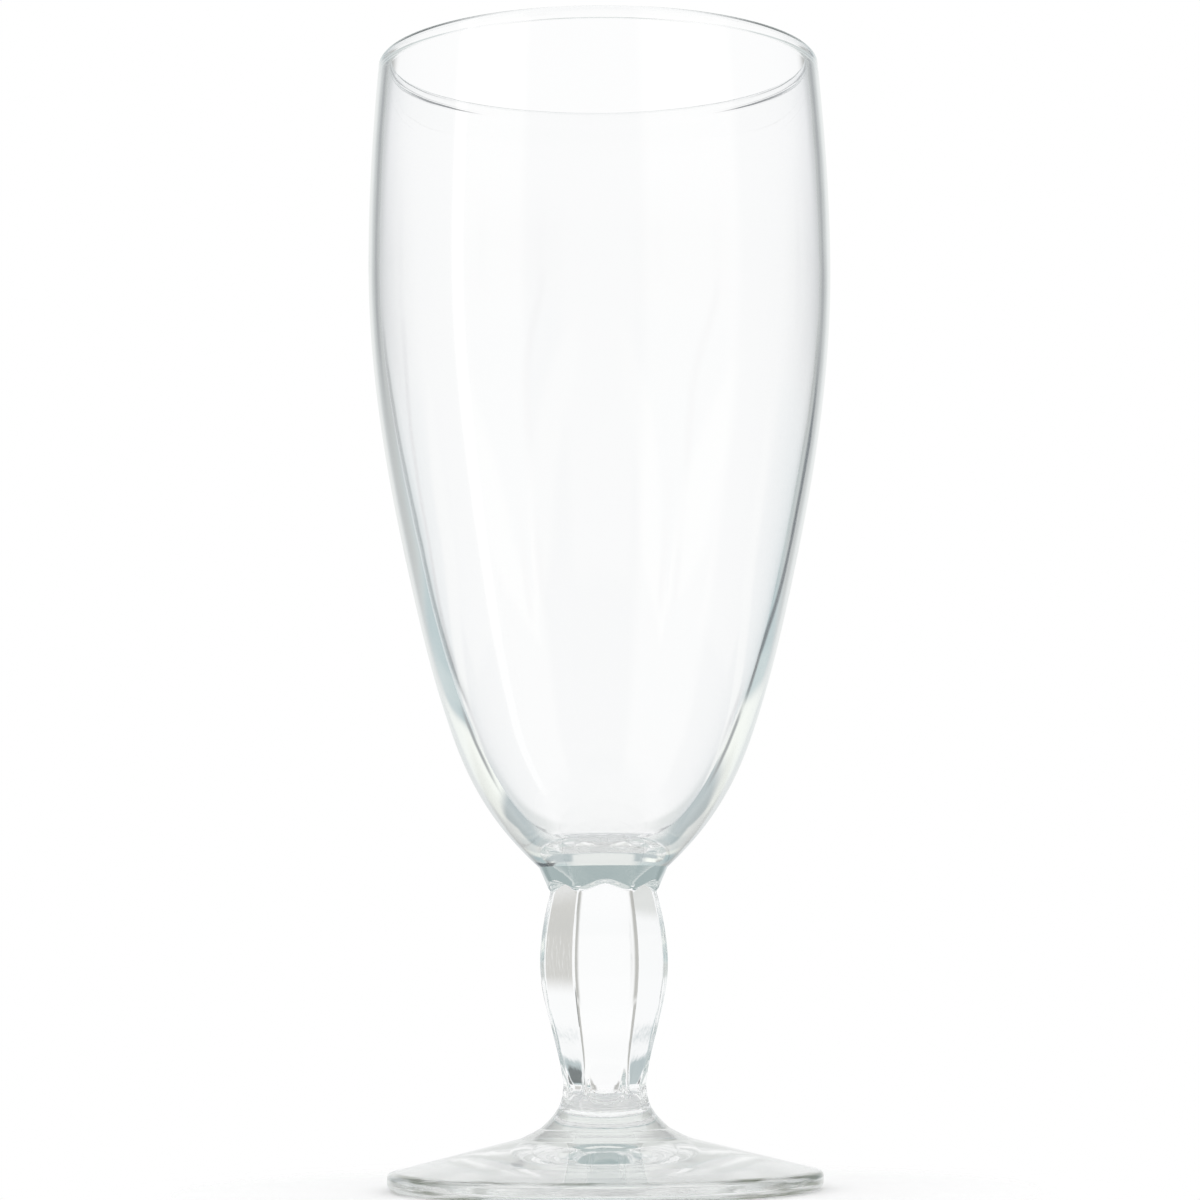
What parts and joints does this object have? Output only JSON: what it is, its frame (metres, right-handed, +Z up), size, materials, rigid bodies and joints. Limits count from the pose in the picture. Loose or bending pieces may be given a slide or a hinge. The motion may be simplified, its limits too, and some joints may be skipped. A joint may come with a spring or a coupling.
{
  "type": "footed beer glass",
  "caption": "Slim clear beer glass: blown tulip bowl with a fire-polished rim on a six-sided baluster stem and a shallow conical foot.",
  "frame": {"origin": "middle of the plane that the foot rests on", "axes": "+Z up along the axis of the glass, -Y the side that faces the camera in the picture, with one stem panel square to it"},
  "size_m": [0.0758, 0.0758, 0.184],
  "materials": {
    "clear_glass": "clear soda-lime glass, fire-polished, with a faint cool green tint where it is thick"
  },
  "bodies": {
    "root": {"bowl": "clear_glass", "stem": "clear_glass", "foot": "clear_glass"}
  },
  "joints": []
}
